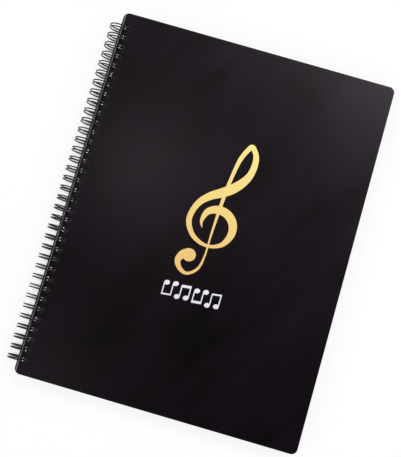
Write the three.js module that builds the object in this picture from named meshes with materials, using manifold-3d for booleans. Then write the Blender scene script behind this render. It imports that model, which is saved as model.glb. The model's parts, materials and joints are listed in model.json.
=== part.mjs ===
// A music folder: clear pocket pages between two black polypropylene covers, held by one
// twin-loop wire along the left edge, with a treble clef and a row of notes in foil on the front.
//
// Millimetres. X runs across the cover from the spine, Y up the page, Z up from the table.
// The parts are drawn with the covers' spine edge at X = 0 and the middle of the closed folder
// at Z = 0. The whole is then shifted so that it rests on Z = 0, centred on X and Y.

import * as THREE from 'three';
import { mergeVertices } from 'three/addons/utils/BufferGeometryUtils.js';
import Module from 'manifold-3d';

// Covers: two sheets cut to the same outline
const COVER_WIDTH = 237;
const COVER_HEIGHT = 314;
const COVER_THICKNESS = 0.8;
const COVER_CORNER_RADIUS = 5;
const CORNER_FACETS = 4;

// Pocket pages: a closed block of leaves, a little smaller than the covers
const LEAF_COUNT = 20;
const LEAF_THICKNESS = 0.2;
const LEAF_AIR = 0.1;
const LEAF_EDGE_DEPTH = 0.8;
const PAGE_INSET_SPINE = 1;
const PAGE_INSET_FORE_EDGE = 4;
const PAGE_INSET_ENDS = 3.5;

// Binding: loops of a wire that passes twice through every hole, three holes to the inch
const LOOP_PITCH = 25.4 / 3;
const LOOP_WIDTH = 2.3;
const LOOPS_BELOW_CENTRE = 0.8;
const WIRE_DIAMETER = 1;
const WIRE_FLATS = 4;
const RING_HEADROOM = 3.55;
const RING_OVERHANG = 9.5;
const RING_STEPS = 6;
const HOLE_CLEARANCE = 0.5;
const HOLE_END_MARGIN = 12;
const COVER_HOLE_FLATS = 8;
const PAGE_HOLE_FLATS = 6;

// Seam of the wire, low on the ring: the closed loop ends stop between the bends that join them
const SEAM_ANGLE = THREE.MathUtils.degToRad(-80);
const BEND_DEPTH = 1.4;
const BEND_SLANT = 1.3;
const SEAM_GAP = 1.4;
const TIP_LENGTH = 0.9;
const TIP_WIDTH = 1.2;

// Foil on the front cover
const FOIL_THICKNESS = 0.12;
const CLEF_HEIGHT = 119.6;
const CLEF_RIGHT_OF_CENTRE = 4.4;
const CLEF_ABOVE_CENTRE = 2.9;
const NOTES_RIGHT_OF_CENTRE = 2.1;
const NOTES_BELOW_CENTRE = 56.3;
const NOTE_GROUP_PITCH = 25.6;
const NOTE_PAIR_PITCH = 14.6;
const NOTE_STAGGER = 0.85;
const NOTE_HEIGHT = 10.8;
const STEM_SPACING = 7.3;
const STEM_WIDTH = 1.1;
const BEAM_SLOPE = 0.12;
const SINGLE_BEAM = 1.5;
const DOUBLE_BEAM = 2.2;
const HEAD_LENGTH = 4.8;
const HEAD_WIDTH = 4.1;
const HEAD_TILT = THREE.MathUtils.degToRad(20);
const HEAD_FACETS = 8;

// Heights, from the middle of the closed folder
const BLOCK_THICKNESS = LEAF_COUNT * (LEAF_THICKNESS + LEAF_AIR) - LEAF_AIR;
const COVER_INNER_Z = BLOCK_THICKNESS / 2 + LEAF_AIR;
const COVER_OUTER_Z = COVER_INNER_Z + COVER_THICKNESS;

// Ring of the wire, seen along the spine: it is round and clears both closed covers
const RING_RADIUS = COVER_OUTER_Z + RING_HEADROOM + WIRE_DIAMETER / 2;
const RING_X = RING_RADIUS + WIRE_DIAMETER / 2 - RING_OVERHANG;

// Holes: the wire crosses the middle of the block further from the spine than it does the covers
const COVER_ANGLE = Math.asin(COVER_OUTER_Z / RING_RADIUS);
const WIRE_DRIFT = RING_RADIUS * (1 - Math.cos(COVER_ANGLE));
const HOLE_X = RING_X + RING_RADIUS - WIRE_DRIFT / 2;
const HOLE_RADIUS = Math.hypot(LOOP_WIDTH / 2, WIRE_DRIFT / 2) + WIRE_DIAMETER / 2 + HOLE_CLEARANCE;
const LOOP_COUNT = Math.floor((COVER_HEIGHT - 2 * HOLE_END_MARGIN) / LOOP_PITCH) + 1;
const LOWEST_LOOP = -LOOPS_BELOW_CENTRE - (LOOP_COUNT - 1) / 2 * LOOP_PITCH;
const loopCentres = Array.from({ length: LOOP_COUNT }, (_, i) => LOWEST_LOOP + i * LOOP_PITCH);

// The clef's two strokes, drawn 119.6 mm tall about the point where the stem crosses the bowl.
// Each point of a stroke is its middle line's x and y, and half its width there.
const CLEF_DRAWN_HEIGHT = 119.6;
const BOWL_STROKE = [
	[-9.4, -4.1, 0.3], [-11.2, 0.9, 1.3], [-8.3, 10.0, 2.7], [0, 13.7, 3.4], [8.4, 11.7, 3.6],
	[13.9, 6.0, 3.5], [15.5, -2.6, 3.1], [11.4, -12.2, 2.1], [5.3, -16.3, 1.5], [-0.7, -17.5, 1.3],
	[-7.6, -16.4, 1.6], [-16.0, -11.2, 2.0], [-21.4, -1.0, 2.3], [-20.2, 9.0, 2.4], [-16.5, 16.6, 2.7],
	[-9.4, 23.3, 3.3], [-1.4, 28.2, 3.9], [5.3, 32.9, 4.0], [11.4, 39.2, 3.7], [16.5, 47.4, 3.0],
	[18.1, 57.5, 3.0], [17.0, 66.0, 2.6], [13.2, 72.0, 2.1],
];
const STEM_STROKE = [
	[14.6, 71.2, 1.6], [12.1, 72.2, 2.1], [9.4, 68.5, 2.0], [6.0, 60.7, 1.9], [4.1, 52.2, 1.6],
	[1.9, 35.4, 1.5], [1.0, 23.9, 1.5], [-0.3, -3.7, 0.9], [-0.5, -16.6, 0.7], [-0.6, -25.4, 0.75],
	[-3.4, -37.9, 1.1], [-11.3, -43.9, 1.3], [-18.1, -40.9, 1.9], [-21.0, -35.4, 2.5], [-18.9, -30.2, 3.2],
	[-16.0, -27.8, 3.6],
];
const BOWL_SAMPLES = 30;
const STEM_SAMPLES = 20;
const TAIL_BALL = { x: -13.1, y: -28.7, radius: 5.4, facets: 12 };

const polypropylene = new THREE.MeshStandardMaterial({ color: 0x1f1b20, roughness: 0.45, metalness: 0 });
const clearFilm = new THREE.MeshStandardMaterial({ color: 0xd4d8dc, roughness: 0.3, metalness: 0 });
const blackEnamel = new THREE.MeshStandardMaterial({ color: 0x17171a, roughness: 0.3, metalness: 0.4 });
const goldFoil = new THREE.MeshStandardMaterial({ color: 0xf9dc7c, roughness: 0.35, metalness: 0.8 });
const silverFoil = new THREE.MeshStandardMaterial({ color: 0xf2f2f4, roughness: 0.35, metalness: 0.6 });

const wasm = await Module();
wasm.setup();

/** A closed geometry as a solid that can be joined to others and cut. */
function toSolid(geometry) {
	const bare = geometry.clone();
	bare.deleteAttribute('normal');
	bare.deleteAttribute('uv');
	const merged = mergeVertices(bare);
	return new wasm.Manifold(new wasm.Mesh({
		numProp: 3,
		vertProperties: new Float32Array(merged.attributes.position.array),
		triVerts: new Uint32Array(merged.index.array),
	}));
}

/** A solid as a geometry. */
function toGeometry(solid) {
	const { vertProperties, triVerts } = solid.getMesh();
	const geometry = new THREE.BufferGeometry();
	geometry.setAttribute('position', new THREE.BufferAttribute(vertProperties, 3));
	geometry.setIndex(new THREE.BufferAttribute(triVerts, 1));
	geometry.computeVertexNormals();
	return geometry;
}

/** Joins closed geometries into one. */
function join(geometries) {
	return toGeometry(wasm.Manifold.union(geometries.map(toSolid)));
}

/** A flat plate of the given outline, its lower face at height z. */
function plate(shape, thickness, z) {
	const geometry = new THREE.ExtrudeGeometry(shape, {
		depth: thickness,
		bevelEnabled: false,
		curveSegments: CORNER_FACETS / 2,
	});
	return geometry.translate(0, 0, z);
}

/** Corners of a regular polygon whose flats touch the circle of the given radius. */
function polygonRound(x, y, radius, flats) {
	const reach = radius / Math.cos(Math.PI / flats);
	return Array.from({ length: flats }, (_, i) => {
		const angle = (2 * i + 1) * Math.PI / flats;
		return new THREE.Vector2(x + reach * Math.cos(angle), y + reach * Math.sin(angle));
	});
}

/** The cover sheet: a rectangle with round corners and one hole for each loop of the wire. */
function coverShape() {
	const low = COVER_CORNER_RADIUS;
	const right = COVER_WIDTH - COVER_CORNER_RADIUS;
	const top = COVER_HEIGHT / 2 - COVER_CORNER_RADIUS;
	const quarter = Math.PI / 2;
	const shape = new THREE.Shape();
	shape.absarc(right, top, COVER_CORNER_RADIUS, 0, quarter);
	shape.absarc(low, top, COVER_CORNER_RADIUS, quarter, 2 * quarter);
	shape.absarc(low, -top, COVER_CORNER_RADIUS, 2 * quarter, 3 * quarter);
	shape.absarc(right, -top, COVER_CORNER_RADIUS, 3 * quarter, 4 * quarter);
	shape.closePath();
	for (const y of loopCentres) {
		shape.holes.push(new THREE.Path(polygonRound(HOLE_X, y, HOLE_RADIUS, COVER_HOLE_FLATS)));
	}
	return shape;
}

/** A rectangle the size of a page, drawn in by the given inset on all four sides. */
function pageShape(inset) {
	const left = PAGE_INSET_SPINE + inset;
	const right = COVER_WIDTH - PAGE_INSET_FORE_EDGE - inset;
	const top = COVER_HEIGHT / 2 - PAGE_INSET_ENDS - inset;
	return new THREE.Shape([
		new THREE.Vector2(left, -top),
		new THREE.Vector2(right, -top),
		new THREE.Vector2(right, top),
		new THREE.Vector2(left, top),
	]);
}

/** The closed block: leaf edges with the air between them, on a solid core, punched for the wire. */
function pocketPages() {
	const bottom = -BLOCK_THICKNESS / 2;
	const core = plate(pageShape(LEAF_EDGE_DEPTH), BLOCK_THICKNESS - LEAF_THICKNESS, bottom + LEAF_THICKNESS / 2);
	const layers = [core];
	for (let i = 0; i < LEAF_COUNT; i++) {
		layers.push(plate(pageShape(0), LEAF_THICKNESS, bottom + i * (LEAF_THICKNESS + LEAF_AIR)));
	}
	const holes = loopCentres.map((y) => {
		const shape = new THREE.Shape(polygonRound(HOLE_X, y, HOLE_RADIUS, PAGE_HOLE_FLATS));
		return toSolid(plate(shape, 2 * BLOCK_THICKNESS, -BLOCK_THICKNESS));
	});
	const block = wasm.Manifold.union(layers.map(toSolid));
	return toGeometry(block.subtract(wasm.Manifold.union(holes)));
}

/**
 * The wire's middle line. It lies on the ring's cylinder all the way, so each corner of it is an
 * angle round the ring and a height y, and the wire's section stays square to the cylinder.
 */
class RingWire extends THREE.Curve {

	constructor(corners) {
		super();
		this.corners = corners;
		this.points = corners.map(({ angle, y }) => new THREE.Vector3(
			RING_X + RING_RADIUS * Math.cos(angle),
			y,
			RING_RADIUS * Math.sin(angle),
		));
	}

	get steps() {
		return this.points.length - 1;
	}

	// Equal shares of the curve run from corner to corner, and not over equal lengths
	getUtoTmapping(u) {
		return u;
	}

	getPoint(t, target = new THREE.Vector3()) {
		const at = t * this.steps;
		const from = Math.min(Math.floor(at + 1e-9), this.steps - 1);
		return target.lerpVectors(this.points[from], this.points[from + 1], at - from);
	}

	computeFrenetFrames() {
		const frames = { tangents: [], normals: [], binormals: [] };
		for (const [i, { angle }] of this.corners.entries()) {
			const before = this.points[Math.max(i - 1, 0)];
			const after = this.points[Math.min(i + 1, this.steps)];
			const outward = new THREE.Vector3(Math.cos(angle), 0, Math.sin(angle));
			const binormal = new THREE.Vector3().subVectors(after, before).cross(outward).normalize();
			frames.binormals.push(binormal);
			frames.normals.push(outward);
			frames.tangents.push(new THREE.Vector3().crossVectors(outward, binormal));
		}
		return frames;
	}

}

/** Angles of one leg of a loop, from the seam through the holes and over the top to the loop's end. */
function legAngles() {
	const end = SEAM_ANGLE + 2 * Math.PI - (SEAM_GAP + TIP_LENGTH) / RING_RADIUS;
	const angles = [SEAM_ANGLE, (SEAM_ANGLE - COVER_ANGLE) / 2, -COVER_ANGLE];
	for (let i = 0; i <= RING_STEPS; i++) {
		angles.push(THREE.MathUtils.lerp(COVER_ANGLE, end, i / RING_STEPS));
	}
	return angles;
}

/** One continuous wire: up a leg, round the loop's end, down its other leg, and on to the next loop. */
function bindingWire() {
	const leg = legAngles();
	const tipAngle = SEAM_ANGLE + 2 * Math.PI - SEAM_GAP / RING_RADIUS;
	const bendAngle = SEAM_ANGLE - BEND_DEPTH / RING_RADIUS;
	const half = LOOP_WIDTH / 2;
	const corners = [];
	for (const centre of loopCentres) {
		if (corners.length > 0) {
			corners.push({ angle: bendAngle, y: centre - LOOP_PITCH + half + BEND_SLANT });
			corners.push({ angle: bendAngle, y: centre - half - BEND_SLANT });
		}
		corners.push(...leg.map((angle) => ({ angle, y: centre - half })));
		corners.push({ angle: tipAngle, y: centre - TIP_WIDTH / 2 });
		corners.push({ angle: tipAngle, y: centre + TIP_WIDTH / 2 });
		corners.push(...leg.toReversed().map((angle) => ({ angle, y: centre + half })));
	}
	// A section with flats has the round wire's area, so that it has its weight
	const sameArea = Math.sqrt(Math.PI / (WIRE_FLATS * Math.tan(Math.PI / WIRE_FLATS)));
	const section = new THREE.Shape(polygonRound(0, 0, sameArea * WIRE_DIAMETER / 2, WIRE_FLATS));
	const path = new RingWire(corners);
	return new THREE.ExtrudeGeometry(section, { steps: path.steps, extrudePath: path });
}

/** A brush stroke: a band on a smooth middle line, as wide at each point as the stroke says. */
function strokeShape(stroke, samples, scale) {
	const points = stroke.map(([x, y, half]) => new THREE.Vector3(x, y, half).multiplyScalar(scale));
	const line = new THREE.CatmullRomCurve3(points, false, 'centripetal');
	const left = [];
	const right = [];
	for (let i = 0; i <= samples; i++) {
		const at = line.getPoint(i / samples);
		const along = line.getTangent(i / samples);
		const side = new THREE.Vector2(-along.y, along.x).setLength(at.z);
		left.push(new THREE.Vector2(at.x + side.x, at.y + side.y));
		right.unshift(new THREE.Vector2(at.x - side.x, at.y - side.y));
	}
	return new THREE.Shape([...left, ...right]);
}

/** The treble clef: bowl and loop in one stroke, stem and hook in another, and the ball on the hook. */
function trebleClef() {
	const scale = CLEF_HEIGHT / CLEF_DRAWN_HEIGHT;
	const { x, y, radius, facets } = TAIL_BALL;
	const ball = new THREE.Shape(polygonRound(x * scale, y * scale, radius * scale, facets));
	const shapes = [
		strokeShape(BOWL_STROKE, BOWL_SAMPLES, scale),
		strokeShape(STEM_STROKE, STEM_SAMPLES, scale),
		ball,
	];
	return join(shapes.map((shape) => plate(shape, FOIL_THICKNESS, 0)));
}

/** Two notes under one sloping beam, drawn upright about their middle. */
function beamedNotes(beamThickness) {
	const outer = STEM_SPACING / 2 + STEM_WIDTH / 2;
	const inner = STEM_SPACING / 2 - STEM_WIDTH / 2;
	const beamTop = (x) => NOTE_HEIGHT / 2 + BEAM_SLOPE * x;
	const beamFoot = (x) => beamTop(x) - beamThickness;
	const headHeight = (x) => beamTop(x) - NOTE_HEIGHT;
	const frame = new THREE.Shape([
		new THREE.Vector2(-outer, headHeight(-outer)),
		new THREE.Vector2(-inner, headHeight(-inner)),
		new THREE.Vector2(-inner, beamFoot(-inner)),
		new THREE.Vector2(inner, beamFoot(inner)),
		new THREE.Vector2(inner, headHeight(inner)),
		new THREE.Vector2(outer, headHeight(outer)),
		new THREE.Vector2(outer, beamTop(outer)),
		new THREE.Vector2(-outer, beamTop(-outer)),
	]);
	const heads = [-outer, inner].map((left) => {
		const x = left + STEM_WIDTH - HEAD_LENGTH / 2;
		const oval = new THREE.EllipseCurve(
			x, headHeight(x), HEAD_LENGTH / 2, HEAD_WIDTH / 2, 0, 2 * Math.PI, false, HEAD_TILT,
		);
		return new THREE.Shape(oval.getPoints(HEAD_FACETS).slice(1));
	});
	return join([frame, ...heads].map((shape) => plate(shape, FOIL_THICKNESS, 0)));
}

function node(name, geometry, material) {
	const mesh = new THREE.Mesh(geometry, material.clone());
	mesh.name = name;
	return mesh;
}

/** The foil on the front cover, about the cover's centre: the clef over a row of four pairs of notes. */
function artwork() {
	const group = new THREE.Group();
	const clef = node('treble_clef', trebleClef(), goldFoil);
	clef.position.set(CLEF_RIGHT_OF_CENTRE, CLEF_ABOVE_CENTRE, 0);
	group.add(clef);
	const beams = [SINGLE_BEAM, DOUBLE_BEAM, DOUBLE_BEAM, SINGLE_BEAM];
	for (const [i, beam] of beams.entries()) {
		const inverted = i % 2 === 0;
		const side = inverted ? -1 : 1;
		const groupX = (i < 2 ? -1 : 1) * NOTE_GROUP_PITCH / 2;
		const pair = node(`beamed_notes_${i + 1}`, beamedNotes(beam), silverFoil);
		pair.rotation.z = inverted ? Math.PI : 0;
		pair.position.x = NOTES_RIGHT_OF_CENTRE + groupX + side * NOTE_PAIR_PITCH / 2;
		pair.position.y = side * NOTE_STAGGER - NOTES_BELOW_CENTRE;
		group.add(pair);
	}
	group.position.set(COVER_WIDTH / 2, 0, COVER_OUTER_Z);
	return group;
}

const folder = new THREE.Group();
folder.add(node('pocket_pages', pocketPages(), clearFilm));
folder.add(node('front_cover', plate(coverShape(), COVER_THICKNESS, COVER_INNER_Z), polypropylene));
folder.add(node('back_cover', plate(coverShape(), COVER_THICKNESS, -COVER_OUTER_Z), polypropylene));
folder.add(node('binding_wire', bindingWire(), blackEnamel));
folder.add(artwork());

// The folder rests on the lowest point of the wire, with its box centred on X and Y
const box = new THREE.Box3().setFromObject(folder, true);
const middle = box.getCenter(new THREE.Vector3());
folder.position.set(-middle.x, -middle.y, -box.min.z);

export default folder;
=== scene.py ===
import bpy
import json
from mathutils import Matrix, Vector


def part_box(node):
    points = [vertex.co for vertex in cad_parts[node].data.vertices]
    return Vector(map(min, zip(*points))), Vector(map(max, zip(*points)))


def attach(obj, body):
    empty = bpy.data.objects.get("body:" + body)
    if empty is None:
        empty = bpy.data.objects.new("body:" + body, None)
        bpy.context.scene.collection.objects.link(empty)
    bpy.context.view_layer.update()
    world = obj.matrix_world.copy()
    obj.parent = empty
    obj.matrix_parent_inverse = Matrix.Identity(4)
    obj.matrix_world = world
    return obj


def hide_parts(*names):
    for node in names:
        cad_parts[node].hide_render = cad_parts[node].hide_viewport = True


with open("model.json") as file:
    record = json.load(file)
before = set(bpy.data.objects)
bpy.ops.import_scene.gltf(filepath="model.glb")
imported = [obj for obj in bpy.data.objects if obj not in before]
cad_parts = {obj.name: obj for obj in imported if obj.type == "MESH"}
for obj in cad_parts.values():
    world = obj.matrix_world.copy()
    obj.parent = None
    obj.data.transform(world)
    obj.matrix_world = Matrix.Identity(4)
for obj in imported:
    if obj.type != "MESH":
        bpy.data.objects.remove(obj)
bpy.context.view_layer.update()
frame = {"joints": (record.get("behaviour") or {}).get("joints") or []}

import json
import math

import bpy
import numpy as np
from bpy.props import FloatProperty, FloatVectorProperty, IntProperty, PointerProperty, StringProperty
from mathutils import Euler, Vector
from mathutils.geometry import tessellate_polygon

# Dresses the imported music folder: two black polypropylene covers and a block of clear pockets
# on a twin-loop wire, with a treble clef and a row of beamed notes stamped on the front in foil.
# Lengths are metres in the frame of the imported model, but those whose names end in _MM are mm.

bl_info = {
    "name": "Music Folder",
    "version": (1, 0, 0),
    "blender": (4, 5, 0),
    "location": "View3D > Sidebar > Folder",
    "description": "Builds the covers, pocket pages, wire and foil of a wire-bound music folder",
    "category": "Add Mesh",
}

MM = 0.001
TURN = 2 * math.pi

FRONT_LOW, FRONT_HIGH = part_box("front_cover")
BACK_LOW, BACK_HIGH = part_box("back_cover")
PAGES_LOW, PAGES_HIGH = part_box("pocket_pages")
COVER_MIDDLE_X = (FRONT_LOW.x + FRONT_HIGH.x) / 2

# The wire's rings lie about the axis that the covers turn on, which runs along the spine
RING_X, _, RING_Z = frame["joints"][0]["pos_m"]


class CoverSettings(bpy.types.PropertyGroup):
    corner_radius: FloatProperty(
        name="Corner radius", description="Radius of the sheet's four corners",
        default=5 * MM, unit="LENGTH")
    edge_radius: FloatProperty(
        name="Edge radius", description="How far the cut edges are rounded over",
        default=0.36 * MM, unit="LENGTH")
    hole_radius: FloatProperty(
        name="Hole radius", description="Radius of the punched holes",
        default=2.2 * MM, unit="LENGTH")
    hole_inset: FloatProperty(
        name="Hole inset", description="From the spine edge to the holes' centres",
        default=6.3 * MM, unit="LENGTH")
    # Where the pale line beside the spine lies: it is a painted highlight
    highlight_inset: FloatProperty(
        name="Painted highlight inset", description="From the spine edge to the pale line beside it",
        default=1.5 * MM, unit="LENGTH")
    colour: StringProperty(
        name="Colour", description="Pigment of the sheet, as sRGB hex", default="#070507")
    # The streaks' lighter end is a painted sheen
    sheen_streak_colour: StringProperty(
        name="Streaks", description="The faint streaks' lighter end, as sRGB hex", default="#110a11")
    # Colour of the pale line beside the spine, a painted highlight
    highlight_colour: StringProperty(
        name="Painted highlight", description="The pale line beside the spine, as sRGB hex", default="#8c888e")


class PageSettings(bpy.types.PropertyGroup):
    leaf_count: IntProperty(
        name="Leaves", description="Number of pocket leaves", default=20, min=2)
    leaf_air: FloatProperty(
        name="Air", description="Gap between two leaves at their edges",
        default=0.1 * MM, unit="LENGTH")
    edge_depth: FloatProperty(
        name="Edge depth", description="How deep the gaps between leaves are drawn",
        default=0.8 * MM, unit="LENGTH")
    scatter: FloatProperty(
        name="Scatter", description="How far leaf edges lie out of line",
        default=0.35 * MM, unit="LENGTH")
    weld_margin: FloatProperty(
        name="Weld margin", description="From a pocket's edge to its welded line",
        default=3 * MM, unit="LENGTH")
    binding_margin: FloatProperty(
        name="Binding margin", description="From the spine edge to the pocket's welded line",
        default=14 * MM, unit="LENGTH")
    colour: StringProperty(
        name="Colour", description="Tint of the stacked film, as sRGB hex", default="#a4aab0")
    dull_colour: StringProperty(
        name="Dull tint", description="What the film's tint drifts to, as sRGB hex", default="#989ea4")
    # The film's tint at its cut edges is painted shade
    edge_shade_colour: StringProperty(
        name="Cut edge", description="The film's tint at its cut edges, as sRGB hex", default="#1e2123")
    weld_colour: StringProperty(
        name="Weld", description="What the welded line lets through, as sRGB hex", default="#9da1a5")


class WireSettings(bpy.types.PropertyGroup):
    ring_radius: FloatProperty(
        name="Ring radius", description="Radius of the wire's middle line",
        default=7.79 * MM, unit="LENGTH")
    wire_radius: FloatProperty(
        name="Wire radius", description="Half the coated wire's thickness",
        default=0.55 * MM, unit="LENGTH")
    loop_count: IntProperty(
        name="Loops", description="Number of twin loops", default=35, min=1)
    loop_pitch: FloatProperty(
        name="Pitch", description="From one loop to the next, three to the inch",
        default=25.4 / 3 * MM, unit="LENGTH")
    loops_below_centre: FloatProperty(
        name="Loops below centre", description="How far the row of loops sits below the cover's middle",
        default=0.8 * MM, unit="LENGTH")
    loop_width: FloatProperty(
        name="Loop width", description="Between the two wires of a loop",
        default=2.3 * MM, unit="LENGTH")
    seam_angle: FloatProperty(
        name="Seam angle", description="Where on the ring the loops are joined",
        default=math.radians(-80), subtype="ANGLE")
    colour: StringProperty(
        name="Colour", description="Coating of the wire, as sRGB hex", default="#020203")


class FoilSettings(bpy.types.PropertyGroup):
    thickness: FloatProperty(
        name="Thickness", description="How far the foil stands above the cover",
        default=0.12 * MM, unit="LENGTH")
    gold_top: StringProperty(
        name="Gold, top", description="Gold at the clef's top, as sRGB hex", default="#f7e58a")
    gold_foot: StringProperty(
        name="Gold, foot", description="Gold at the clef's foot, as sRGB hex", default="#f0c878")
    silver_top: StringProperty(
        name="Silver, top", description="Silver at the notes' top, as sRGB hex", default="#f2f2f4")
    silver_foot: StringProperty(
        name="Silver, foot", description="Silver at the notes' foot, as sRGB hex", default="#e4e4e8")


class StageSettings(bpy.types.PropertyGroup):
    camera_place: FloatVectorProperty(
        name="Camera", description="Where the camera stands",
        default=(0.017839, -0.08898, 0.763965), subtype="TRANSLATION", unit="LENGTH")
    camera_turn: FloatVectorProperty(
        name="Camera turn", description="The camera's rotation",
        default=[math.radians(a) for a in (6.7118, -0.4468, 16.1614)], subtype="EULER")
    focal_length: FloatProperty(
        name="Focal length", description="In mm, on a sensor 36 mm along the long side", default=72.47)
    sky_strength: FloatProperty(
        name="Sky strength", description="Brightness of the room that lights the folder", default=2.5)


def linear(code, alpha=1.0):
    """An sRGB hex colour as linear red, green, blue and alpha."""
    values = [int(code[i:i + 2], 16) / 255 for i in (1, 3, 5)]
    return (*[v / 12.92 if v <= 0.04045 else ((v + 0.055) / 1.055) ** 2.4 for v in values], alpha)


def per_size(size_mm):
    """The scale of a pattern on Object coordinates whose features are that many mm across."""
    return 1 / (size_mm * MM)


def add(tree, kind, inputs=None, **settings):
    """Adds a node: settings are its own properties, and an input is a value or another node's socket."""
    node = tree.nodes.new(kind)
    for name, value in settings.items():
        setattr(node, name, value)
    for name, value in (inputs or {}).items():
        if isinstance(value, bpy.types.NodeSocket):
            tree.links.new(value, node.inputs[name])
        else:
            node.inputs[name].default_value = value
    return node


def empty_nodes(owner):
    """The node tree of a new material or world, with nothing in it."""
    owner.use_nodes = True
    owner.node_tree.nodes.clear()
    return owner.node_tree


def ramp(tree, factor, stops):
    """The colour of a ramp with the given stops, each a place and an sRGB hex colour."""
    node = add(tree, "ShaderNodeValToRGB", {"Fac": factor})
    elements = node.color_ramp.elements
    while len(elements) < len(stops):
        elements.new(0.5)
    for element, (place, colour) in zip(elements, stops):
        element.position = place
        element.color = linear(colour)
    return node.outputs["Color"]


def past_rectangle(tree, place, low, high):
    """How far a place lies outside a rectangle in x and y, as a socket: less than 0 inside it."""
    middle, half = (low + high) / 2, (high - low) / 2
    away = add(tree, "ShaderNodeVectorMath", {
        0: place, 1: (middle.x, middle.y, 0)}, operation="SUBTRACT")
    away = add(tree, "ShaderNodeVectorMath", {0: away.outputs[0]}, operation="ABSOLUTE")
    away = add(tree, "ShaderNodeVectorMath", {
        0: away.outputs[0], 1: (half.x, half.y, 0)}, operation="SUBTRACT")
    away = add(tree, "ShaderNodeSeparateXYZ", {"Vector": away.outputs[0]})
    return add(tree, "ShaderNodeMath", {
        0: away.outputs["X"], 1: away.outputs["Y"]}, operation="MAXIMUM").outputs[0]


def painted_spine_highlight(tree, place, settings):
    """A painted highlight: a pale line beside the spine edge, on black, standing in for the light caught
    along the cover's edge.
    """
    across = add(tree, "ShaderNodeSeparateXYZ", {"Vector": place})
    away = add(tree, "ShaderNodeMath", {
        0: across.outputs["X"], 1: FRONT_LOW.x + settings.highlight_inset}, operation="SUBTRACT")
    away = add(tree, "ShaderNodeMath", {0: away.outputs[0]}, operation="ABSOLUTE")
    line = add(tree, "ShaderNodeMapRange", {
        "Value": away.outputs[0], "From Min": 0.15 * MM, "From Max": 0.4 * MM,
        "To Min": 1.0, "To Max": 0.0})
    return ramp(tree, line.outputs["Result"], [(0.0, "#000000"), (1.0, settings.highlight_colour)])


def black_polypropylene(settings):
    """Calendered black polypropylene sheet: a fine grain that spreads the light into a soft sheen,
    with faint cloudy streaks across the sheet: a painted sheen that lightens its colour, where it is also
    a little rougher."""
    material = bpy.data.materials.new("black_polypropylene")
    tree = empty_nodes(material)
    place = add(tree, "ShaderNodeTexCoord").outputs["Object"]
    # The grain of such sheet is about 0.2 mm, drawn 0.5 mm so that it shows
    grain = add(tree, "ShaderNodeTexNoise", {
        "Vector": place, "Scale": per_size(0.5), "Detail": 3, "Roughness": 0.6})
    # The streaks run up to the right, three times as long as they are wide
    slant = add(tree, "ShaderNodeMapping", {"Vector": place, "Rotation": (0, 0, math.radians(-56))})
    slant = add(tree, "ShaderNodeMapping", {"Vector": slant.outputs["Vector"], "Scale": (0.33, 1, 1)})
    streaks = add(tree, "ShaderNodeTexNoise", {
        "Vector": slant.outputs["Vector"], "Scale": per_size(32), "Detail": 3, "Roughness": 0.5})
    # Painted sheen: the streaks lighten the sheet's colour, and below they make it a little rougher
    sheet = ramp(tree, streaks.outputs["Fac"], [(0.3, settings.colour), (0.75, settings.sheen_streak_colour)])
    # The pale line beside the spine is a painted highlight, added to the sheet's colour
    colour = add(tree, "ShaderNodeVectorMath", {
        0: sheet, 1: painted_spine_highlight(tree, place, settings)}, operation="ADD")
    rough = add(tree, "ShaderNodeMapRange", {
        "Value": streaks.outputs["Fac"], "From Min": 0.25, "From Max": 0.75,
        "To Min": 0.23, "To Max": 0.29})
    bump = add(tree, "ShaderNodeBump", {
        "Height": grain.outputs["Fac"], "Strength": 0.25, "Distance": 0.02 * MM})
    shader = add(tree, "ShaderNodeBsdfPrincipled", {
        "Base Color": colour.outputs[0], "Roughness": rough.outputs["Result"],
        "Normal": bump.outputs["Normal"], "IOR": 1.49, "Specular IOR Level": 0.35})
    add(tree, "ShaderNodeOutputMaterial", {"Surface": shader.outputs[0]})
    return material


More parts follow.
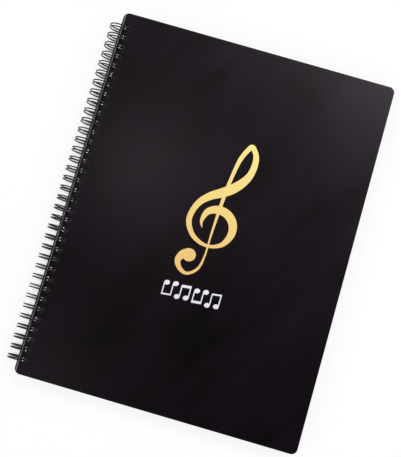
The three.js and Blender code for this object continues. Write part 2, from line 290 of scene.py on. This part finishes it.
def clear_film(settings):
    """Cast clear polypropylene film, many leaves deep: pale and slightly milky and glossy on its faces,
    with the slow ripples of thin film, painted shade on its cut edges and hole walls, and a welded line
    round each pocket."""
    material = bpy.data.materials.new("clear_polypropylene_film")
    tree = empty_nodes(material)
    where = add(tree, "ShaderNodeTexCoord")
    place = where.outputs["Object"]
    ripple = add(tree, "ShaderNodeTexNoise", {
        "Vector": place, "Scale": per_size(45), "Detail": 1.5, "Roughness": 0.4})
    # Squeezed in height, the drift of the tint differs from leaf to leaf
    squeezed = add(tree, "ShaderNodeMapping", {"Vector": place, "Scale": (1, 1, 60)})
    leaves = add(tree, "ShaderNodeTexNoise", {
        "Vector": squeezed.outputs["Vector"], "Scale": per_size(30), "Detail": 2})
    tint = ramp(tree, leaves.outputs["Fac"], [(0.3, settings.dull_colour), (0.7, settings.colour)])
    # Painted shade: faces that stand on edge, the cut edges and the walls of the punched holes, are
    # darkened as if in shadow
    facing = add(tree, "ShaderNodeSeparateXYZ", {"Vector": where.outputs["Normal"]})
    facing = add(tree, "ShaderNodeMath", {0: facing.outputs["Z"]}, operation="ABSOLUTE")
    edge = ramp(tree, facing.outputs[0], [(0.3, settings.edge_shade_colour), (0.9, "#ffffff")])
    # The welded line is about 1 mm wide
    low = PAGES_LOW + Vector((settings.binding_margin, settings.weld_margin, 0))
    high = PAGES_HIGH - Vector((settings.weld_margin, settings.weld_margin, 0))
    weld = add(tree, "ShaderNodeMapRange", {
        "Value": past_rectangle(tree, place, low, high), "From Min": -0.6 * MM, "From Max": 0.6 * MM})
    weld = ramp(tree, weld.outputs["Result"], [
        (0.1, "#ffffff"), (0.5, settings.weld_colour), (0.9, "#ffffff")])
    colour = add(tree, "ShaderNodeVectorMath", {0: tint, 1: edge}, operation="MULTIPLY")
    colour = add(tree, "ShaderNodeVectorMath", {0: colour.outputs[0], 1: weld}, operation="MULTIPLY")
    bump = add(tree, "ShaderNodeBump", {
        "Height": ripple.outputs["Fac"], "Strength": 0.5, "Distance": 1.2 * MM})
    shader = add(tree, "ShaderNodeBsdfPrincipled", {
        "Base Color": colour.outputs[0], "Roughness": 0.22,
        "Normal": bump.outputs["Normal"], "IOR": 1.49})
    add(tree, "ShaderNodeOutputMaterial", {"Surface": shader.outputs[0]})
    return material


def coated_wire(settings):
    """Nylon-coated steel wire: a smooth black skin with a bright narrow highlight, scuffed a little
    where the loops rub."""
    material = bpy.data.materials.new("nylon_coated_wire")
    tree = empty_nodes(material)
    place = add(tree, "ShaderNodeTexCoord").outputs["Object"]
    scuffs = add(tree, "ShaderNodeTexNoise", {
        "Vector": place, "Scale": per_size(1.5), "Detail": 2})
    rough = add(tree, "ShaderNodeMapRange", {
        "Value": scuffs.outputs["Fac"], "From Min": 0.35, "From Max": 0.75,
        "To Min": 0.14, "To Max": 0.24})
    bump = add(tree, "ShaderNodeBump", {
        "Height": scuffs.outputs["Fac"], "Strength": 0.15, "Distance": 0.02 * MM})
    shader = add(tree, "ShaderNodeBsdfPrincipled", {
        "Base Color": linear(settings.colour), "Roughness": rough.outputs["Result"],
        "Normal": bump.outputs["Normal"], "IOR": 1.5, "Specular IOR Level": 0.32})
    add(tree, "ShaderNodeOutputMaterial", {"Surface": shader.outputs[0]})
    return material


def stamped_foil(name, node, foot_colour, top_colour, metallic, rough):
    """Hot-stamped metal foil: a thin bright layer that follows the grain of the sheet beneath, its
    colour drifting from the foot to the top of the CAD node's figure."""
    low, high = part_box(node)
    material = bpy.data.materials.new(name)
    tree = empty_nodes(material)
    place = add(tree, "ShaderNodeTexCoord").outputs["Object"]
    along = add(tree, "ShaderNodeSeparateXYZ", {"Vector": place})
    drift = add(tree, "ShaderNodeMapRange", {
        "Value": along.outputs["Y"], "From Min": low.y, "From Max": high.y})
    colour = ramp(tree, drift.outputs["Result"], [(0.0, foot_colour), (1.0, top_colour)])
    # The sheet's grain shows through as small facets, drawn 0.6 mm across
    grain = add(tree, "ShaderNodeTexNoise", {
        "Vector": place, "Scale": per_size(0.6), "Detail": 2, "Roughness": 0.6})
    bump = add(tree, "ShaderNodeBump", {
        "Height": grain.outputs["Fac"], "Strength": 0.3, "Distance": 0.03 * MM})
    shader = add(tree, "ShaderNodeBsdfPrincipled", {
        "Base Color": colour, "Metallic": metallic, "Roughness": rough,
        "Normal": bump.outputs["Normal"]})
    add(tree, "ShaderNodeOutputMaterial", {"Surface": shader.outputs[0]})
    return material


def new_piece(name, points, faces, material, smooth):
    """A mesh object at the origin from arrays of points and faces; smooth is one flag, or one per face."""
    mesh = bpy.data.meshes.new(name)
    mesh.from_pydata(np.asarray(points, float).tolist(), [], [list(map(int, f)) for f in faces])
    flags = np.broadcast_to(np.asarray(smooth, bool), len(mesh.polygons))
    mesh.polygons.foreach_set("use_smooth", np.ascontiguousarray(flags))
    mesh.materials.append(material)
    mesh.update()
    piece = bpy.data.objects.new(name, mesh)
    bpy.context.scene.collection.objects.link(piece)
    return piece


def place_piece(piece, body, slot, *nodes):
    """Lets a piece ride on its body and stand for its CAD nodes, which it hides; the slot it is given is
    not used.
    """
    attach(piece, body)
    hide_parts(*nodes)


def ring_faces(rows, columns, start=0):
    """Quads of a grid of rows by columns points, numbered from start, each row closed on itself."""
    row, column = np.meshgrid(np.arange(rows - 1), np.arange(columns), indexing="ij")
    after = (column + 1) % columns
    a = start + row * columns + column
    b = start + row * columns + after
    return np.stack([a, b, b + columns, a + columns], axis=-1).reshape(-1, 4)


def rounded_rectangle(low, high, radius, inset, steps=14):
    """The outline of a rectangle with round corners, drawn in by inset: each corner is a quarter
    circle of radius less inset about the same centre, so every inset has the same points."""
    quarter = np.linspace(0, TURN / 4, steps)
    centres = [(high[0] - radius, high[1] - radius), (low[0] + radius, high[1] - radius),
               (low[0] + radius, low[1] + radius), (high[0] - radius, low[1] + radius)]
    angles = np.concatenate([quarter + i * TURN / 4 for i in range(4)])
    middles = np.repeat(np.array(centres), steps, axis=0)
    return middles + (radius - inset) * np.stack([np.cos(angles), np.sin(angles)], axis=-1)


def circle(x, y, radius, steps=28):
    """A circle of steps points about x, y."""
    angles = np.arange(steps) * TURN / steps
    return np.stack([x + radius * np.cos(angles), y + radius * np.sin(angles)], axis=-1)


def edge_profile(low, high, radius, steps=5):
    """Insets and heights over a sheet's edge: a quarter circle down from the top face, the edge,
    and a quarter circle in to the bottom face."""
    turn = np.linspace(0, TURN / 4, steps)
    inset = radius * (1 - np.sin(turn))
    drop = radius * (1 - np.cos(turn))
    return np.concatenate([inset, inset[::-1]]), np.concatenate([high - drop, (low + drop)[::-1]])


# A filling triangle whose doubled area is no more than this, in square metres, is left out
SLIVER = 1e-14


def fill(loops, height, up):
    """Triangles between the first loop and the other loops, which are holes in it, facing up or down.
    Their numbers count the loops' points in order."""
    stacked = np.concatenate(loops)
    outlines = [[Vector((x, y, height)) for x, y in loop] for loop in loops]
    triangles = np.array(tessellate_polygon(outlines))
    a, b, c = (stacked[triangles[:, k]] for k in range(3))
    # Twice each triangle's area, less than 0 where it faces down
    turn = (b - a)[:, 0] * (c - a)[:, 1] - (b - a)[:, 1] * (c - a)[:, 0]
    kept = np.abs(turn) > SLIVER
    triangles, turn = triangles[kept], turn[kept]
    wrong = (turn > 0) != up
    triangles[wrong] = triangles[wrong][:, ::-1]
    return triangles


def punched_sheet(outline, holes, insets, heights, plain_holes=False):
    """Points, faces and smooth flags of a closed sheet: its edge profile is carried round the outline
    and round every hole, and flat fills close the two faces. outline and holes are functions from
    an inset to a loop of points. Plain holes have a straight wall instead of the profile."""
    hole_profile = (np.zeros(2), heights[[0, -1]]) if plain_holes else (insets, heights)
    contours = [(outline, insets, heights)] + [(hole, *hole_profile) for hole in holes]
    points, faces, smooth, tops, bottoms = [], [], [], [], []
    start = 0
    for number, (contour, drawn_in, levels) in enumerate(contours):
        rows = np.stack([contour(inset) for inset in drawn_in])
        count = rows.shape[1]
        level = np.broadcast_to(levels[:, None, None], (*rows.shape[:2], 1))
        points.append(np.concatenate([rows, level], axis=2).reshape(-1, 3))
        quads = ring_faces(len(levels), count, start)
        # The outline's wall faces away from the sheet's middle, and a hole's wall faces its own
        faces.extend(quads if number else quads[:, ::-1])
        smooth.extend([True] * len(quads))
        around = np.arange(count)
        tops.append((rows[0], start + around))
        bottoms.append((rows[-1], start + (len(levels) - 1) * count + around))
        start += len(levels) * count
    for loops, height, up in ((tops, heights[0], True), (bottoms, heights[-1], False)):
        numbers = np.concatenate([n for _, n in loops])
        triangles = numbers[fill([loop for loop, _ in loops], height, up)]
        faces.extend(triangles)
        smooth.extend([False] * len(triangles))
    return np.concatenate(points), faces, smooth


def loop_centres(wire):
    """Heights of the loops along the spine."""
    from_middle = np.arange(wire.loop_count) - (wire.loop_count - 1) / 2
    return from_middle * wire.loop_pitch - wire.loops_below_centre


def hole_outlines(scene):
    """One function for each punched hole, from an inset to its circle: an inset widens the hole."""
    x = FRONT_LOW.x + scene.folder_covers.hole_inset
    radius = scene.folder_covers.hole_radius
    return [lambda inset, y=y: circle(x, y, radius + inset) for y in loop_centres(scene.folder_wire)]


class FOLDER_OT_covers(bpy.types.Operator):
    """Makes the two covers: sheets with round corners, softened edges and a row of punched holes"""
    bl_idname = "folder.covers"
    bl_label = "Covers"

    def execute(self, context):
        settings = context.scene.folder_covers
        holes = hole_outlines(context.scene)
        material = black_polypropylene(settings)
        for body, low, high in (("front", FRONT_LOW, FRONT_HIGH), ("back", BACK_LOW, BACK_HIGH)):
            node = body + "_cover"
            insets, heights = edge_profile(low.z, high.z, settings.edge_radius)
            points, faces, smooth = punched_sheet(
                lambda inset: rounded_rectangle(low, high, settings.corner_radius, inset),
                holes, insets, heights)
            sheet = new_piece(node + "_sheet", points, faces, material, smooth)
            place_piece(sheet, body, "cover_sheet", node)
        return {"FINISHED"}


LEAF_CORNER_RADIUS = 1.5 * MM
LEAF_CORNER_STEPS = 5
SCATTER_SEED = 20


def leaf_edges(settings):
    """Insets and heights down the edge of the closed block: for each leaf its rounded lip, set in by
    a random scatter, and then the gap under it, which is cut in to the edge depth."""
    random = np.random.default_rng(SCATTER_SEED)
    pitch = (PAGES_HIGH.z - PAGES_LOW.z + settings.leaf_air) / settings.leaf_count
    leaf = pitch - settings.leaf_air
    lip = leaf / 4
    tops = PAGES_HIGH.z - np.arange(settings.leaf_count) * pitch
    scatter = random.uniform(0, settings.scatter, settings.leaf_count)
    # A lip is round, so halfway down it is set in by only 0.3 of its depth
    drops = np.array([0, lip / 2, lip, leaf - lip, leaf - lip / 2, leaf])
    lips = np.array([lip, lip * 0.3, 0, 0, lip * 0.3, lip])
    gap = np.full((settings.leaf_count, 2), settings.edge_depth)
    gap_heights = np.stack([tops - leaf, tops - pitch], axis=1)
    insets = np.concatenate([scatter[:, None] + lips[None, :], gap], axis=1)
    heights = np.concatenate([tops[:, None] - drops[None, :], gap_heights], axis=1)
    # The last leaf has no gap under it
    return insets.reshape(-1)[:-2], heights.reshape(-1)[:-2]


class FOLDER_OT_pages(bpy.types.Operator):
    """Makes the closed block of clear pockets, each leaf's edge a little out of line with the next"""
    bl_idname = "folder.pages"
    bl_label = "Pocket pages"

    def execute(self, context):
        settings = context.scene.folder_pages
        insets, heights = leaf_edges(settings)
        points, faces, smooth = punched_sheet(
            lambda inset: rounded_rectangle(
                PAGES_LOW, PAGES_HIGH, LEAF_CORNER_RADIUS, inset, LEAF_CORNER_STEPS),
            hole_outlines(context.scene), insets, heights, plain_holes=True)
        block = new_piece("pocket_leaves", points, faces, clear_film(settings), smooth)
        place_piece(block, "pages", "clear_film", "pocket_pages")
        return {"FINISHED"}


# The wire's bends, measured along the ring and along the spine
BEND_DEPTH = 1.4 * MM
BEND_SLANT = 1.3 * MM
SEAM_GAP = 1.4 * MM
TIP_LENGTH = 0.9 * MM
TIP_HALF_WIDTH = 0.6 * MM

# How finely the wire is drawn
LEG_POINTS = 30
SAMPLES_PER_CORNER = 3
WIRE_SIDES = 10


def smooth_bends(corners, samples):
    """A quadratic B-spline over the corners: it starts and ends at the middle of the first and last
    edge, and rounds each corner between the middles of its two edges."""
    before, at, after = corners[:-2], corners[1:-1], corners[2:]
    t = (np.arange(samples) / samples)[None, :, None]
    start, end = (before + at) / 2, (at + after) / 2
    line = (1 - t) ** 2 * start[:, None] + 2 * t * (1 - t) * at[:, None] + t ** 2 * end[:, None]
    return np.concatenate([line.reshape(-1, 2), end[-1:]])


def wire_line(settings):
    """The wire's middle line, as angles round the ring and heights on the spine: round the ring up
    one side of a loop, across its tip, back down the other side, and over to the next loop."""
    half = settings.loop_width / 2
    seam = settings.seam_angle
    tip = seam + TURN - SEAM_GAP / settings.ring_radius
    bend = seam - BEND_DEPTH / settings.ring_radius
    leg_end = seam + TURN - (SEAM_GAP + TIP_LENGTH) / settings.ring_radius
    leg = np.linspace(seam, leg_end, LEG_POINTS)
    angles = np.concatenate([leg, [tip, tip], leg[::-1], [bend, bend]])
    heights = np.concatenate([
        np.full(LEG_POINTS, -half), [-TIP_HALF_WIDTH, TIP_HALF_WIDTH], np.full(LEG_POINTS, half),
        [half + BEND_SLANT, settings.loop_pitch - half - BEND_SLANT]])
    centres = loop_centres(settings)
    corners = np.stack([
        np.tile(angles, len(centres)),
        (centres[:, None] + heights[None, :]).reshape(-1)], axis=-1)
    # No bend follows the last loop
    return smooth_bends(corners[:-2], SAMPLES_PER_CORNER)


def round_tube(middle, outward, radius, sides):
    """Points and faces of a tube along a middle line: at each point a circle on the outward direction
    and the one square to it and to the line, and a fan that closes either end."""
    across = np.cross(np.gradient(middle, axis=0), outward)
    across /= np.linalg.norm(across, axis=1, keepdims=True)
    turn = np.arange(sides) * TURN / sides
    section = radius * (
        np.cos(turn)[None, :, None] * outward[:, None] + np.sin(turn)[None, :, None] * across[:, None])
    tube = (middle[:, None] + section).reshape(-1, 3)
    around = np.arange(sides)
    after = (around + 1) % sides
    last_row = len(tube) - sides
    ends = np.concatenate([
        np.stack([np.full(sides, len(tube)), after, around], axis=-1),
        np.stack([np.full(sides, len(tube) + 1), last_row + around, last_row + after], axis=-1)])
    points = np.concatenate([tube, middle[:1], middle[-1:]])
    return points, [*ring_faces(len(middle), sides), *ends]


class FOLDER_OT_wire(bpy.types.Operator):
    """Makes the binding: one wire that runs up and down the rings in narrow loops, two to each hole"""
    bl_idname = "folder.wire"
    bl_label = "Binding wire"

    def execute(self, context):
        settings = context.scene.folder_wire
        angle, height = wire_line(settings).T
        outward = np.stack([np.cos(angle), np.zeros(len(angle)), np.sin(angle)], axis=-1)
        along_spine = height[:, None] * np.array([[0, 1, 0]])
        middle = outward * settings.ring_radius + np.array([RING_X, 0, RING_Z]) + along_spine
        points, faces = round_tube(middle, outward, settings.wire_radius, WIRE_SIDES)
        wire = new_piece("twin_loop_wire", points, faces, coated_wire(settings), True)
        place_piece(wire, "back", "enamelled_wire", "binding_wire")
        wire_alone().objects.link(wire)
        return {"FINISHED"}


# The clef's two strokes and the ball at its tail, in mm about the point where the stem crosses the
# bowl. Each point is the stroke's middle line in x and y, and half its width there.
CLEF_PLACE_MM = (4.4, 2.9)
BOWL_STROKE_MM = (
    (-9.4, -4.1, 0.3), (-11.2, 0.9, 1.3), (-8.3, 10.0, 2.7), (0, 13.7, 3.4), (8.4, 11.7, 3.6),
    (13.9, 6.0, 3.5), (15.5, -2.6, 3.1), (11.4, -12.2, 2.1), (5.3, -16.3, 1.5), (-0.7, -17.5, 1.3),
    (-7.6, -16.4, 1.6), (-16.0, -11.2, 2.0), (-21.4, -1.0, 2.3), (-20.2, 9.0, 2.4), (-16.5, 16.6, 2.7),
    (-9.4, 23.3, 3.3), (-1.4, 28.2, 3.9), (5.3, 32.9, 4.0), (11.4, 39.2, 3.7), (16.5, 47.4, 3.0),
    (18.4, 57.5, 2.6), (17.2, 66.0, 2.3), (13.2, 72.0, 2.1),
)
STEM_STROKE_MM = (
    (14.6, 71.2, 1.6), (12.1, 72.2, 2.1), (9.4, 68.5, 2.0), (6.0, 60.7, 1.9), (4.1, 52.2, 1.6),
    (1.9, 35.4, 1.5), (1.0, 23.9, 1.5), (-0.3, -3.7, 0.9), (-0.5, -16.6, 0.7), (-0.6, -25.4, 0.75),
    (-3.4, -37.9, 1.1), (-11.3, -43.9, 1.3), (-18.1, -40.9, 1.9), (-21.0, -35.4, 2.5), (-18.9, -30.2, 3.2),
    (-16.0, -27.8, 3.6),
)
# The ball is four circles, each with its centre and radius
TAIL_BALLS_MM = ((-13.1, -28.7, 5.4), (-13.9, -28.5, 5.15), (-14.7, -28.3, 4.9), (-15.4, -28.1, 4.65))

# Each prism of a foil figure is thinner by this much at its top and its foot than the one before,
# so that no two faces coincide
FOIL_STEP = 0.004 * MM


def through(points, steps):
    """A centripetal Catmull-Rom curve through the points, with steps samples between each two: the
    knots are spaced by the square root of the distance, which keeps tight turns round."""
    points = np.asarray(points, float)
    ends = np.concatenate([[2 * points[0] - points[1]], points, [2 * points[-1] - points[-2]]])
    p = [ends[i:len(ends) - 3 + i, None] for i in range(4)]
    spacing = [np.sqrt(np.linalg.norm(p[i + 1] - p[i], axis=2, keepdims=True)) for i in range(3)]
    k1, k2 = spacing[0], spacing[0] + spacing[1]
    k3 = k2 + spacing[2]
    t = k1 + (k2 - k1) * (np.arange(steps) / steps)[None, :, None]
    a1 = p[0] * (k1 - t) / k1 + p[1] * t / k1
    a2 = p[1] * (k2 - t) / (k2 - k1) + p[2] * (t - k1) / (k2 - k1)
    a3 = p[2] * (k3 - t) / (k3 - k2) + p[3] * (t - k2) / (k3 - k2)
    b1 = a1 * (k2 - t) / k2 + a2 * t / k2
    b2 = a2 * (k3 - t) / (k3 - k1) + a3 * (t - k1) / (k3 - k1)
    curve = b1 * (k2 - t) / (k2 - k1) + b2 * (t - k1) / (k2 - k1)
    return np.concatenate([curve.reshape(-1, points.shape[1]), points[-1:]])


def stroke_outline(points, steps=6):
    """The outline of a brush stroke: its middle line moved out by its half width on either side."""
    line = through(points, steps)
    along = np.gradient(line[:, :2], axis=0)
    side = np.stack([-along[:, 1], along[:, 0]], axis=-1)
    side *= line[:, 2:] / np.linalg.norm(side, axis=1, keepdims=True)
    return np.concatenate([line[:, :2] - side, (line[:, :2] + side)[::-1]])


def foil_figure(name, outlines_mm, place_mm, thickness, material):
    """A flat figure of foil on the front cover: every outline is a closed prism, and an exact
    boolean joins them."""
    prisms = []
    for number, outline in enumerate(outlines_mm):
        flat = (np.asarray(outline) + np.asarray(place_mm)) * MM + np.array([COVER_MIDDLE_X, 0])
        top = FRONT_HIGH.z + thickness - number * FOIL_STEP
        heights = np.array([top, FRONT_HIGH.z + number * FOIL_STEP])
        points, faces, _ = punched_sheet(lambda inset: flat, [], np.zeros(2), heights)
        prisms.append(new_piece(f"{name}_{number}", points, faces, material, False))
    figure = prisms[0]
    for other in prisms[1:]:
        union = figure.modifiers.new("union", "BOOLEAN")
        union.operation = "UNION"
        union.solver = "EXACT"
        union.object = other
    bpy.context.view_layer.update()
    joined = bpy.data.meshes.new_from_object(figure.evaluated_get(bpy.context.evaluated_depsgraph_get()))
    for prism in prisms:
        bpy.data.objects.remove(prism)
    joined.name = name
    piece = bpy.data.objects.new(name, joined)
    bpy.context.scene.collection.objects.link(piece)
    return piece


class FOLDER_OT_clef(bpy.types.Operator):
    """Stamps the treble clef in gold foil: bowl and loop in one stroke, stem and hook in another"""
    bl_idname = "folder.clef"
    bl_label = "Treble clef"

    def execute(self, context):
        settings = context.scene.folder_foil
        gold = stamped_foil(
            "gold_foil", "treble_clef", settings.gold_foot, settings.gold_top, metallic=0.3, rough=0.45)
        outlines = [stroke_outline(BOWL_STROKE_MM), stroke_outline(STEM_STROKE_MM)]
        outlines += [circle(*ball, steps=48) for ball in TAIL_BALLS_MM]
        clef = foil_figure("gold_clef", outlines, CLEF_PLACE_MM, settings.thickness, gold)
        place_piece(clef, "front", "gold_foil", "treble_clef")
        return {"FINISHED"}


# The row of notes: two groups of two pairs, and the first pair of each group stands on its head
NOTES_PLACE_MM = (2.1, -56.5)
NOTE_GROUP_PITCH_MM = 25.6
NOTE_PAIR_PITCH_MM = 14.6
NOTE_STAGGER_MM = 0.85
NOTE_HEIGHT_MM = 10.3
STEM_SPACING_MM = 7.3
STEM_WIDTH_MM = 0.95
BEAM_SLOPE = 0.12
BEAMS_MM = (1.3, 2.1, 2.1, 1.3)
HEAD_MM = (2.35, 1.95)
HEAD_TILT = math.radians(20)


def note_outlines(beam):
    """Two stems under a sloping beam, and an oval head at the foot of each stem, in mm."""
    outer = (STEM_SPACING_MM + STEM_WIDTH_MM) / 2
    inner = (STEM_SPACING_MM - STEM_WIDTH_MM) / 2
    across = np.array([-outer, -inner, -inner, inner, inner, outer, outer, -outer])
    below = np.array([NOTE_HEIGHT_MM, NOTE_HEIGHT_MM, beam, beam, NOTE_HEIGHT_MM, NOTE_HEIGHT_MM, 0, 0])
    outlines = [np.stack([across, NOTE_HEIGHT_MM / 2 + BEAM_SLOPE * across - below], axis=-1)]
    cos, sin = math.cos(HEAD_TILT), math.sin(HEAD_TILT)
    head = circle(0, 0, 1, steps=40) * np.array(HEAD_MM) @ np.array([[cos, sin], [-sin, cos]])
    for stem_left in (-outer, inner):
        x = stem_left + STEM_WIDTH_MM - HEAD_MM[0]
        outlines.append(head + np.array([x, BEAM_SLOPE * x - NOTE_HEIGHT_MM / 2]))
    return outlines


class FOLDER_OT_notes(bpy.types.Operator):
    """Stamps the row of four beamed pairs of notes in silver foil, every other pair upside down"""
    bl_idname = "folder.notes"
    bl_label = "Beamed notes"

    def execute(self, context):
        settings = context.scene.folder_foil
        silver = stamped_foil(
            "silver_foil", "beamed_notes_1", settings.silver_foot, settings.silver_top,
            metallic=0.2, rough=0.4)
        for number, beam in enumerate(BEAMS_MM):
            side = -1 if number % 2 == 0 else 1
            group = (-1 if number < 2 else 1) * NOTE_GROUP_PITCH_MM / 2
            place = (
                NOTES_PLACE_MM[0] + group + side * NOTE_PAIR_PITCH_MM / 2,
                NOTES_PLACE_MM[1] + side * NOTE_STAGGER_MM)
            outlines = [outline * side for outline in note_outlines(beam)]
            pair = foil_figure(f"silver_notes_{number + 1}", outlines, place, settings.thickness, silver)
            place_piece(pair, "front", "silver_foil", f"beamed_notes_{number + 1}")
        return {"FINISHED"}


SENSOR_WIDTH_MM = 36
FLOOR_REACH = 4.0
# How much of what the camera sees of the floor is its own glow
FLOOR_GLOW = 0.85

# The room's shades by the cosine of the angle from SKY_UP: dull near the floor, bright at half
# height, and dark overhead, where the cover mirrors it to the camera
SKY_UP = (0.03, -0.14, 0.99)
SKY_SHADES = (
    (0.0, "#686868"), (0.3, "#a4a4a4"), (0.52, "#ffffff"), (0.61, "#ffffff"), (0.8, "#2f2832"),
    (1.0, "#100d12"))

# Each softbox's name, place, width and height, power in watts and colour: a low one that lights the
# wire alone, a large one whose sheen fills the cover's top right, and two small ones, mirrored in
# the cover left of the clef and at the foot of the spine
WIRE_GLINT = ("wire_glint", (1.3, 0.3, 0.2), (0.3, 0.3), 70, "#ffffff")
SHEENS = (
    ("sheen", (0.5, 0.97, 1.5), (0.9, 0.72), 7.8, "#fff0ff"),
    ("left_sheen", (-0.24, 0.32, 1.78), (0.15, 0.15), 0.36, "#fff0ff"),
    ("foot_sheen", (-0.38, -0.34, 1.75), (0.15, 0.15), 0.17, "#fff0ff"))
FOLDER_MIDDLE = (0, 0, 0.01)


def white_sweep():
    """Smooth white paper sweep: it takes the folder's soft shadow, partly real and partly painted shade,
    and looks white to the camera and in reflections because it gives off most of the light that they see
    there."""
    material = bpy.data.materials.new("white_paper_sweep")
    tree = empty_nodes(material)
    rays = add(tree, "ShaderNodeLightPath")
    seen = add(tree, "ShaderNodeMath", {
        0: rays.outputs["Is Camera Ray"], 1: rays.outputs["Is Glossy Ray"]}, operation="MAXIMUM")
    seen = add(tree, "ShaderNodeMath", {
        0: seen.outputs[0], 1: rays.outputs["Is Transmission Ray"]}, operation="MAXIMUM")
    # Painted shade: under the folder the sweep's paper and glow are darkened, from a little inside the
    # back cover's edge
    place = add(tree, "ShaderNodeTexCoord").outputs["Object"]
    outside = add(tree, "ShaderNodeMapRange", {
        "Value": past_rectangle(tree, place, BACK_LOW, BACK_HIGH),
        "From Min": -4 * MM, "From Max": -1 * MM, "To Min": 0.04, "To Max": 1.0})
    # Painted shade: where the folder lies close over it, the glow is darkened by ambient occlusion
    open_sky = add(tree, "ShaderNodeAmbientOcclusion", {"Distance": 3 * MM})
    tone = ramp(tree, outside.outputs["Result"], [(0.0, "#000000"), (1.0, "#f4f4f4")])
    paper = add(tree, "ShaderNodeBsdfDiffuse", {"Color": tone})
    glow = add(tree, "ShaderNodeEmission", {
        "Color": open_sky.outputs["Color"], "Strength": outside.outputs["Result"]})
    share = add(tree, "ShaderNodeMath", {0: seen.outputs[0], 1: FLOOR_GLOW}, operation="MULTIPLY")
    both = add(tree, "ShaderNodeMixShader", {
        0: share.outputs[0], 1: paper.outputs[0], 2: glow.outputs[0]})
    add(tree, "ShaderNodeOutputMaterial", {"Surface": both.outputs[0]})
    return material


def studio_room(strength):
    """The room that lights the folder, shaded by height. The camera itself sees plain white."""
    world = bpy.data.worlds.new("studio")
    tree = empty_nodes(world)
    way = add(tree, "ShaderNodeTexCoord").outputs["Generated"]
    height = add(tree, "ShaderNodeVectorMath", {0: way, 1: SKY_UP}, operation="DOT_PRODUCT")
    room = add(tree, "ShaderNodeBackground", {
        "Color": ramp(tree, height.outputs["Value"], SKY_SHADES), "Strength": strength})
    white = add(tree, "ShaderNodeBackground", {"Color": linear("#ffffff"), "Strength": 1.0})
    rays = add(tree, "ShaderNodeLightPath")
    mix = add(tree, "ShaderNodeMixShader", {
        0: rays.outputs["Is Camera Ray"], 1: room.outputs[0], 2: white.outputs[0]})
    add(tree, "ShaderNodeOutputWorld", {"Surface": mix.outputs[0]})
    return world


def add_softbox(name, place, size, power, colour):
    """A rectangular area light at place, turned to face the folder."""
    light = bpy.data.lights.new(name, "AREA")
    light.shape = "RECTANGLE"
    light.size, light.size_y = size
    light.energy = power
    light.color = linear(colour)[:3]
    lamp = bpy.data.objects.new(name, light)
    lamp.location = place
    lamp.rotation_euler = (Vector(place) - Vector(FOLDER_MIDDLE)).to_track_quat("Z", "Y").to_euler()
    bpy.context.scene.collection.objects.link(lamp)
    return lamp


def wire_alone():
    """The collection of what the glint lamp lights."""
    return bpy.data.collections.get("wire_alone") or bpy.data.collections.new("wire_alone")


def add_camera(scene, settings):
    """The camera that sees the folder as the photograph does."""
    lens = bpy.data.cameras.new("camera")
    lens.sensor_width = SENSOR_WIDTH_MM
    lens.lens = settings.focal_length
    camera = bpy.data.objects.new("camera", lens)
    camera.location = settings.camera_place
    camera.rotation_euler = Euler(settings.camera_turn)
    scene.collection.objects.link(camera)
    scene.camera = camera


class FOLDER_OT_stage(bpy.types.Operator):
    """Sets the white floor, the soft studio light and the camera at the photograph's angle"""
    bl_idname = "folder.stage"
    bl_label = "Stage"

    def execute(self, context):
        scene = context.scene
        settings = scene.folder_stage
        corners = FLOOR_REACH * np.array([(-1, -1, 0), (1, -1, 0), (1, 1, 0), (-1, 1, 0)])
        floor = new_piece("floor", corners, [(0, 1, 2, 3)], white_sweep(), False)
        scene.world = studio_room(settings.sky_strength)
        glint = add_softbox(*WIRE_GLINT)
        glint.light_linking.receiver_collection = wire_alone()
        for softbox in SHEENS:
            add_softbox(*softbox)
        add_camera(scene, settings)
        scene.view_settings.view_transform = "Standard"
        return {"FINISHED"}


OPERATORS = (
    FOLDER_OT_stage, FOLDER_OT_covers, FOLDER_OT_pages, FOLDER_OT_wire, FOLDER_OT_clef, FOLDER_OT_notes)


class FOLDER_PT_panel(bpy.types.Panel):
    """Lists the folder's operators"""
    bl_idname = "FOLDER_PT_panel"
    bl_label = "Music Folder"
    bl_space_type = "VIEW_3D"
    bl_region_type = "UI"
    bl_category = "Folder"

    def draw(self, context):
        for operator in OPERATORS:
            self.layout.operator(operator.bl_idname)


SETTINGS = {
    "folder_covers": CoverSettings, "folder_pages": PageSettings, "folder_wire": WireSettings,
    "folder_foil": FoilSettings, "folder_stage": StageSettings,
}


def register():
    for cls in (*SETTINGS.values(), *OPERATORS, FOLDER_PT_panel):
        bpy.utils.register_class(cls)
    for name, cls in SETTINGS.items():
        setattr(bpy.types.Scene, name, PointerProperty(type=cls))


def unregister():
    for name in SETTINGS:
        delattr(bpy.types.Scene, name)
    for cls in (FOLDER_PT_panel, *OPERATORS, *SETTINGS.values()):
        bpy.utils.unregister_class(cls)


def main():
    register()
    bpy.ops.folder.stage()
    bpy.ops.folder.covers()
    bpy.ops.folder.pages()
    bpy.ops.folder.wire()
    bpy.ops.folder.clef()
    bpy.ops.folder.notes()


if __name__ == "__main__":
    main()
